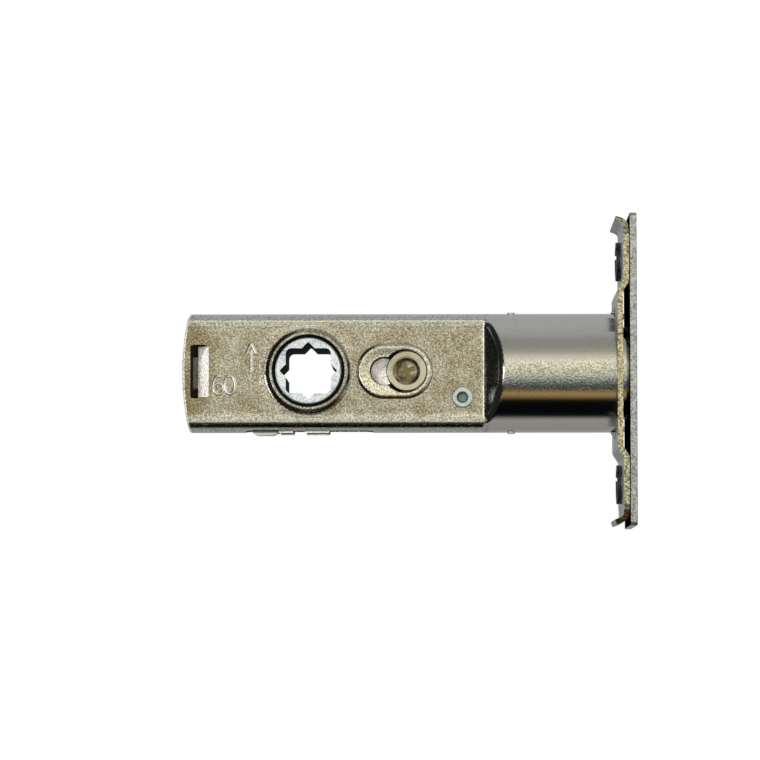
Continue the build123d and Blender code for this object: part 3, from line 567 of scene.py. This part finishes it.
@dataclass
class Marks:
    """The arrow and the plain number raised by the press on the near side, behind the hub.

    Attributes:
        side_y: Place of the near flat side.
        rise, sink: Height of a crest above the sheet, and depth of its foot below.
        line: Half the width of a ridge.
        arrow_apex: X and Z of the arrow's point.
        arrow_head: Half the width of its head, and its height.
        arrow_length: From the point to the shaft's foot.
        digit_height, digit_width: Size of a digit between the middles of its lines.
        six_centre, nought_centre: X and Z of each digit's middle.
        bowl_share: Height of the six's bowl over the digit's.
        stem_deg: Angles between which the six's stem follows its ellipse.
        steps: Rows of points along a line.
        columns: Points across a ridge.
        sharp_deg: Angle from which an edge is sharp.
    """

    side_y: float = -0.006
    rise: float = 0.00009
    sink: float = 0.00003
    line: float = 0.00044
    arrow_apex: tuple[float, float] = (-0.07055, 0.00515)
    arrow_head: tuple[float, float] = (0.00098, 0.00215)
    arrow_length: float = 0.00555
    digit_height: float = 0.00330
    digit_width: float = 0.00190
    six_centre: tuple[float, float] = (-0.07660, -0.00250)
    nought_centre: tuple[float, float] = (-0.07450, -0.00250)
    bowl_share: float = 0.58
    stem_deg: tuple[float, float] = (62.0, 182.0)
    steps: int = 48
    columns: int = 9
    sharp_deg: float = 35.0

    def build(self, finish: bpy.types.Material) -> None:
        """Build both marks.

        Args:
            finish: Material of the raised marks.
        """
        self.piece("arrow_mark", self.arrow_lines(), finish)
        self.piece("number_mark", self.number_lines(), finish)

    def arrow_lines(self) -> list[np.ndarray]:
        """Centre lines of the arrow: its head and its shaft.

        Returns:
            Polylines as arrays of X and Z.
        """
        x, z = self.arrow_apex
        half, drop = self.arrow_head
        head = np.array([(x - half, z - drop), (x, z), (x + half, z - drop)])
        shaft = np.array([(x, z - 0.4 * drop), (x, z - self.arrow_length)])
        return [head, shaft]

    def number_lines(self) -> list[np.ndarray]:
        """Centre lines of the two digits, from ellipses: half width times cosine, half height times sine.

        Returns:
            Polylines as arrays of X and Z.
        """
        half_w, half_h = self.digit_width / 2, self.digit_height / 2
        turn = np.linspace(0.0, 2 * np.pi, self.steps)
        nought = np.stack([self.nought_centre[0] + half_w * np.cos(turn),
                           self.nought_centre[1] + half_h * np.sin(turn)], axis=1)
        x, z = self.six_centre
        bowl_h = self.bowl_share * half_h
        middle = z - half_h + bowl_h
        bowl = np.stack([x + half_w * np.cos(turn), middle + bowl_h * np.sin(turn)], axis=1)
        sweep = np.linspace(*np.radians(self.stem_deg), self.steps // 2)
        stem = np.stack([x + half_w * np.cos(sweep), middle + (2 * half_h - bowl_h) * np.sin(sweep)], axis=1)
        return [nought, bowl, stem]

    def piece(self, name: str, lines: list[np.ndarray], finish: bpy.types.Material) -> None:
        """Build one mark from ridges along its lines.

        Args:
            name: Name of the piece.
            lines: Centre lines.
            finish: Its material.
        """
        points, faces = [], []
        for line in lines:
            ridge, quads = self.ridge(line)
            faces.append(quads + sum(len(part) for part in points))
            points.append(ridge)
        mesh = bpy.data.meshes.new(name)
        mesh.from_pydata(np.concatenate(points).tolist(), [], np.concatenate(faces).tolist())
        mesh.validate()
        made = bpy.data.objects.new(name, mesh)
        bpy.context.collection.objects.link(made)
        mesh.shade_smooth()
        mesh.set_sharp_from_angle(angle=math.radians(self.sharp_deg))
        made.data.materials.append(finish)
        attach(made, "case")
        LOG.info("%s: %d faces", name, len(mesh.polygons))

    def ridge(self, line: np.ndarray) -> tuple[np.ndarray, np.ndarray]:
        """A low ridge along one line, closed below.

        The line is cut into even steps. The cross-section is one wave of a cosine, from below the
        sheet's surface to the crest and back. At an open end the ridge narrows and sinks as a
        quarter circle does.

        Args:
            line: Centre line as an array of X and Z.

        Returns:
            Points and quads.
        """
        run = np.concatenate([[0.0], np.cumsum(np.linalg.norm(np.diff(line, axis=0), axis=1))])
        even = np.linspace(0.0, run[-1], self.steps)
        line = np.stack([np.interp(even, run, line[:, 0]), np.interp(even, run, line[:, 1])], axis=1)
        is_loop = np.linalg.norm(line[0] - line[-1]) < self.line / 10
        to_end = np.minimum(even, run[-1] - even) / self.line
        taper = np.ones(self.steps) if is_loop else np.sqrt(1 - (1 - np.clip(to_end, 0.02, 1.0)) ** 2)
        step = np.gradient(line, axis=0)
        if is_loop:
            step[0] = step[-1] = line[1] - line[-2]
        step /= np.linalg.norm(step, axis=1, keepdims=True)
        aside = np.stack([-step[:, 1], step[:, 0]], axis=1)
        across = np.linspace(-1.0, 1.0, self.columns)
        wave = 0.5 * (1 + np.cos(np.pi * across))
        lift = (self.rise + self.sink) * taper[:, None] * wave[None, :] - self.sink
        width = self.line * taper[:, None, None] * across[None, :, None]
        plan = line[:, None, :] + width * aside[:, None, :]
        top = np.stack([plan[..., 0], self.side_y - lift, plan[..., 1]], axis=2).reshape(-1, 3)
        base = top.copy()
        base[:, 1] = self.side_y + 2 * self.sink
        count = self.steps * self.columns
        grid = np.arange(count).reshape(self.steps, self.columns)
        over = np.stack([grid[:-1, :-1], grid[1:, :-1], grid[1:, 1:], grid[:-1, 1:]], axis=2).reshape(-1, 4)
        under = over[:, ::-1] + count
        loop = np.concatenate([grid[0, :-1], grid[:-1, -1], grid[-1, :0:-1], grid[:0:-1, 0]])
        after = np.roll(loop, -1)
        walls = np.stack([loop, after, after + count, loop + count], axis=1)
        return np.concatenate([top, base]), np.concatenate([over, under, walls])


@dataclass
class SubAssembly:
    """CAD nodes that come apart together on the bench, each with its metal."""

    metals: dict[str, Metal]

    def dress(self, made: dict[Metal, bpy.types.Material]) -> None:
        """Give each node its metal.

        Args:
            made: The material of each metal.
        """
        for name, metal in self.metals.items():
            node = bpy.data.objects[name]
            node.data.materials.clear()
            node.data.materials.append(made[metal])
            LOG.info("%s: %s", name, metal.value.name)


@dataclass
class Case(SubAssembly):
    """The pressed tube with all that is fixed to it, and the marks on its near side."""

    metals: dict[str, Metal] = field(default_factory=lambda: {
        "case_shell": Metal.PRESSED, "mounting_plate": Metal.BACKING, "faceplate": Metal.FACE,
        "inner_frame": Metal.FOLDED, "guide_post": Metal.TURNED, "guide_collar_near": Metal.TURNED,
        "guide_collar_far": Metal.TURNED, "guide_screw": Metal.TURNED, "stop_rivet": Metal.RIVET,
        "stop_sleeve": Metal.PLAIN, "bolt_guide_ring": Metal.PLAIN, "detent_spring": Metal.PLAIN,
        "hub_washer_near": Metal.PLAIN, "hub_washer_far": Metal.PLAIN})
    marks: Marks = field(default_factory=Marks)

    def dress(self, made: dict[Metal, bpy.types.Material]) -> None:
        """Give each node its metal and raise the marks.

        Args:
            made: The material of each metal.
        """
        super().dress(made)
        self.marks.build(made[Metal.RAISED])


@dataclass
class Drive(SubAssembly):
    """The hub and the two cheeks of its crank."""

    metals: dict[str, Metal] = field(default_factory=lambda: {
        "hub": Metal.CAST, "crank_cheek_near": Metal.CRANK, "crank_cheek_far": Metal.CRANK})


@dataclass
class Throw(SubAssembly):
    """The bolt, with the tail by which the crank moves it."""

    metals: dict[str, Metal] = field(default_factory=lambda: {
        "bolt": Metal.ROD, "tail_bar": Metal.PLAIN, "tail_rivet": Metal.PLAIN, "drive_pin": Metal.PLAIN})


# Tone of the tent at each angle round X in degrees, from below behind, by the front at 0, to above behind.
TENT_TONES: tuple[tuple[float, tuple[float, float, float]], ...] = (
    (-180, (0.42, 0.42, 0.43)),
    (-140, (0.34, 0.335, 0.33)),
    (-104, (0.40, 0.39, 0.37)),
    (-95, (0.003, 0.003, 0.004)),
    (-57, (0.003, 0.003, 0.004)),
    (-51, (0.20, 0.13, 0.05)),
    (-43, (0.50, 0.35, 0.14)),
    (-37, (0.06, 0.065, 0.065)),
    (-26, (0.10, 0.11, 0.105)),
    (-17, (0.30, 0.31, 0.29)),
    (-9, (0.62, 0.62, 0.56)),
    (-2, (0.80, 0.78, 0.64)),
    (5, (0.73, 0.70, 0.52)),
    (11, (0.90, 0.86, 0.68)),
    (20, (1.14, 1.11, 0.96)),
    (28, (0.82, 0.80, 0.66)),
    (38, (0.47, 0.46, 0.38)),
    (52, (0.34, 0.34, 0.33)),
    (64, (0.36, 0.36, 0.355)),
    (80, (0.465, 0.47, 0.475)),
    (104, (0.50, 0.505, 0.515)),
    (150, (0.47, 0.475, 0.49)),
    (175, (0.56, 0.56, 0.57)),
)
LEFT_TONE = (0.02, 0.02, 0.022, 1.0)
RIGHT_TONE = (0.46, 0.46, 0.45, 1.0)
SOFTBOX_TONE = (2.8, 2.8, 2.75, 1.0)


@dataclass(frozen=True)
class Softbox:
    """A bright spot in the tent.

    Attributes:
        turn_deg, lift_deg: Its direction from the latch, to the left of the front and upwards.
        half_turn, half_lift: Half its width and height, seen from a distance of one.
        soft: Half the width of its soft rim.
    """

    turn_deg: float
    lift_deg: float
    half_turn: float
    half_lift: float
    soft: float = 0.04

    def mask(self, tree: Tree, way: Socket) -> Socket:
        """Mask of the spot.

        Args:
            tree: The tent's node tree.
            way: Unit direction from the latch.

        Returns:
            One inside the spot, zero outside, soft at its rim.
        """
        turn, lift = math.radians(self.turn_deg), math.radians(self.lift_deg)
        aim = Vector((-math.sin(turn) * math.cos(lift), -math.cos(turn) * math.cos(lift), math.sin(lift)))
        across = Vector((-math.cos(turn), math.sin(turn), 0.0))
        upward = aim.cross(across)
        inside = []
        for direction, half in ((across, self.half_turn), (upward, self.half_lift)):
            offset = add_node(tree, "ShaderNodeVectorMath", {0: way, 1: tuple(direction)},
                              operation="DOT_PRODUCT").outputs["Value"]
            size = add_node(tree, "ShaderNodeMath", {0: offset}, operation="ABSOLUTE").outputs[0]
            inside.append(add_node(tree, "ShaderNodeMapRange",
                                   {"Value": size, "From Min": half + self.soft, "From Max": half - self.soft},
                                   interpolation_type="SMOOTHSTEP").outputs["Result"])
        ahead = add_node(tree, "ShaderNodeVectorMath", {0: way, 1: tuple(aim)},
                         operation="DOT_PRODUCT").outputs["Value"]
        ahead = add_node(tree, "ShaderNodeMath", {0: ahead, 1: 0.0}, operation="GREATER_THAN").outputs[0]
        both = add_node(tree, "ShaderNodeMath", {0: inside[0], 1: inside[1]}, operation="MULTIPLY").outputs[0]
        return add_node(tree, "ShaderNodeMath", {0: both, 1: ahead}, operation="MULTIPLY").outputs[0]


@dataclass
class Studio:
    """Floor, tent of light, lamp and camera round the latch.

    Attributes:
        target: The point that camera and lamp are aimed at.
        distance, azimuth_deg, elevation_deg: Where the camera stands from there.
        lens_mm, sensor_mm, clip_end: The camera's optics and the farthest that it sees.
        floor_z, floor_radius: Height and radius of the floor.
        tent_radius: Radius of the tent.
        left_side, right_side: Along X in a direction, where the tent's dark left and plain right side start
            and are full.
        back_side: Along Y in a direction, where the dark left side is gone and where it starts.
        softboxes: The bright spots.
        lamp_place, lamp_size, lamp_power, lamp_colour: The lamp.
    """

    target: tuple[float, float, float] = (-0.047, 0.0, -0.0012)
    distance: float = 0.70
    azimuth_deg: float = 1.1
    elevation_deg: float = -3.8
    lens_mm: float = 179.0
    sensor_mm: float = 36.0
    clip_end: float = 20.0
    floor_z: float = -0.12
    floor_radius: float = 1.6
    tent_radius: float = 0.9
    left_side: tuple[float, float] = (-0.18, -0.38)
    right_side: tuple[float, float] = (0.6, 0.85)
    back_side: tuple[float, float] = (0.35, 0.05)
    softboxes: tuple[Softbox, ...] = (Softbox(26.0, -2.0, 0.13, 0.18),)
    lamp_place: tuple[float, float, float] = (-0.55, -0.55, 0.55)
    lamp_size: float = 0.35
    lamp_power: float = 9.0
    lamp_colour: tuple[float, float, float] = (1.0, 0.98, 0.94)

    def build(self) -> None:
        """Build everything that isn't part of the latch."""
        self.world()
        self.floor()
        self.tent()
        self.lamp()
        self.camera()

    def world(self) -> None:
        """White surroundings."""
        world = bpy.data.worlds.new("white")
        bpy.context.scene.world = world
        world.use_nodes = True
        tree = world.node_tree
        tree.nodes.clear()
        plain = add_node(tree, "ShaderNodeBackground", {"Color": (1, 1, 1, 1), "Strength": 1.0})
        add_node(tree, "ShaderNodeOutputWorld", {"Surface": plain.outputs[0]})

    def floor(self) -> None:
        """Pale floor that shades into the white surroundings at its rim."""
        bpy.ops.mesh.primitive_circle_add(vertices=96, radius=self.floor_radius, fill_type="NGON",
                                          location=(self.target[0], 0, self.floor_z))
        floor = bpy.context.object
        floor.name = "floor"
        floor.visible_glossy = False
        made = bpy.data.materials.new("pale_floor")
        made.use_nodes = True
        tree = made.node_tree
        tree.nodes.clear()
        place = add_node(tree, "ShaderNodeTexCoord").outputs["Object"]
        away = add_node(tree, "ShaderNodeVectorMath", {0: place}, operation="LENGTH").outputs["Value"]
        rim = add_node(tree, "ShaderNodeMapRange",
                       {"Value": away, "From Min": 0.25 * self.floor_radius,
                        "From Max": 0.8 * self.floor_radius}, interpolation_type="SMOOTHSTEP").outputs["Result"]
        matt = add_node(tree, "ShaderNodeBsdfDiffuse", {"Color": (0.9, 0.9, 0.9, 1)}).outputs[0]
        white = add_node(tree, "ShaderNodeEmission", {"Color": (1, 1, 1, 1), "Strength": 1.0}).outputs[0]
        mixed = add_node(tree, "ShaderNodeMixShader", {0: rim, 1: matt, 2: white}).outputs[0]
        add_node(tree, "ShaderNodeOutputMaterial", {"Surface": mixed})
        floor.data.materials.append(made)

    def tent(self) -> None:
        """Light tent round the latch, seen by the metal and not by the camera."""
        bpy.ops.mesh.primitive_uv_sphere_add(segments=96, ring_count=48, radius=self.tent_radius,
                                             location=self.target)
        tent = bpy.context.object
        tent.name = "tent"
        tent.visible_camera = False
        tent.visible_shadow = False
        made = bpy.data.materials.new("tent_light")
        made.use_nodes = True
        tree = made.node_tree
        tree.nodes.clear()
        colour = self.tent_colour(tree)
        light = add_node(tree, "ShaderNodeEmission", {"Color": colour, "Strength": 1.0}).outputs[0]
        add_node(tree, "ShaderNodeOutputMaterial", {"Surface": light})
        tent.data.materials.append(made)

    def tent_colour(self, tree: Tree) -> Socket:
        """Tone of the tent in each direction from the latch.

        It is a function of the angle round X, counted up from the camera's side, and of how far a
        direction points along X. A bright softbox stands to the left of the camera.

        Args:
            tree: The tent's node tree.

        Returns:
            The tone's output.
        """
        place = add_node(tree, "ShaderNodeTexCoord").outputs["Object"]
        way = add_node(tree, "ShaderNodeVectorMath", {0: place}, operation="NORMALIZE").outputs[0]
        parts = add_node(tree, "ShaderNodeSeparateXYZ", {0: way}).outputs
        towards = add_node(tree, "ShaderNodeMath", {0: parts["Y"], 1: -1.0}, operation="MULTIPLY").outputs[0]
        angle = add_node(tree, "ShaderNodeMath", {0: parts["Z"], 1: towards}, operation="ARCTAN2").outputs[0]
        turn = add_node(tree, "ShaderNodeMapRange",
                        {"Value": angle, "From Min": -math.pi, "From Max": math.pi}).outputs["Result"]
        stops = [((degrees + 180) / 360, (*tone, 1.0)) for degrees, tone in TENT_TONES]
        colour = add_node(tree, "ShaderNodeValToRGB", {0: turn}, stops).outputs["Color"]
        masks = []
        for axis, (start, end) in (("X", self.left_side), ("Y", self.back_side), ("X", self.right_side)):
            masks.append(add_node(tree, "ShaderNodeMapRange",
                                  {"Value": parts[axis], "From Min": start, "From Max": end},
                                  interpolation_type="SMOOTHSTEP").outputs["Result"])
        left = add_node(tree, "ShaderNodeMath", {0: masks[0], 1: masks[1]}, operation="MULTIPLY").outputs[0]
        layers = [(left, LEFT_TONE), (masks[2], RIGHT_TONE)]
        layers += [(softbox.mask(tree, way), SOFTBOX_TONE) for softbox in self.softboxes]
        for mask, tone in layers:
            colour = add_node(tree, "ShaderNodeMix", {0: mask, 6: colour, 7: tone}, data_type="RGBA").outputs[2]
        return colour

    def lamp(self) -> None:
        """A soft lamp for the matt surfaces and the floor."""
        data = bpy.data.lights.new("key_lamp", "AREA")
        data.size, data.energy, data.color = self.lamp_size, self.lamp_power, self.lamp_colour
        lamp = bpy.data.objects.new("key_lamp", data)
        bpy.context.collection.objects.link(lamp)
        place = Vector(self.lamp_place)
        lamp.location = place
        lamp.rotation_euler = (Vector(self.target) - place).to_track_quat("-Z", "Y").to_euler()
        lamp.visible_glossy = False

    def camera(self) -> None:
        """Camera a little below the latch's axis, nearly square to its side."""
        turn, lift = math.radians(self.azimuth_deg), math.radians(self.elevation_deg)
        back = Vector((math.sin(turn) * math.cos(lift), -math.cos(turn) * math.cos(lift), math.sin(lift)))
        data = bpy.data.cameras.new("camera")
        data.lens, data.sensor_width, data.clip_end = self.lens_mm, self.sensor_mm, self.clip_end
        eye = bpy.data.objects.new("camera", data)
        bpy.context.collection.objects.link(eye)
        eye.location = Vector(self.target) + back * self.distance
        eye.rotation_euler = (-back).to_track_quat("-Z", "Y").to_euler()
        bpy.context.scene.camera = eye


def main() -> None:
    """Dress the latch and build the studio."""
    logging.basicConfig(level=logging.INFO, format="%(name)s %(message)s")
    bpy.context.scene.view_settings.view_transform = "Standard"
    made = {metal: metal.value.material() for metal in Metal}
    for assembly in (Case(), Drive(), Throw()):
        assembly.dress(made)
    Studio().build()


if __name__ == "__main__":
    main()
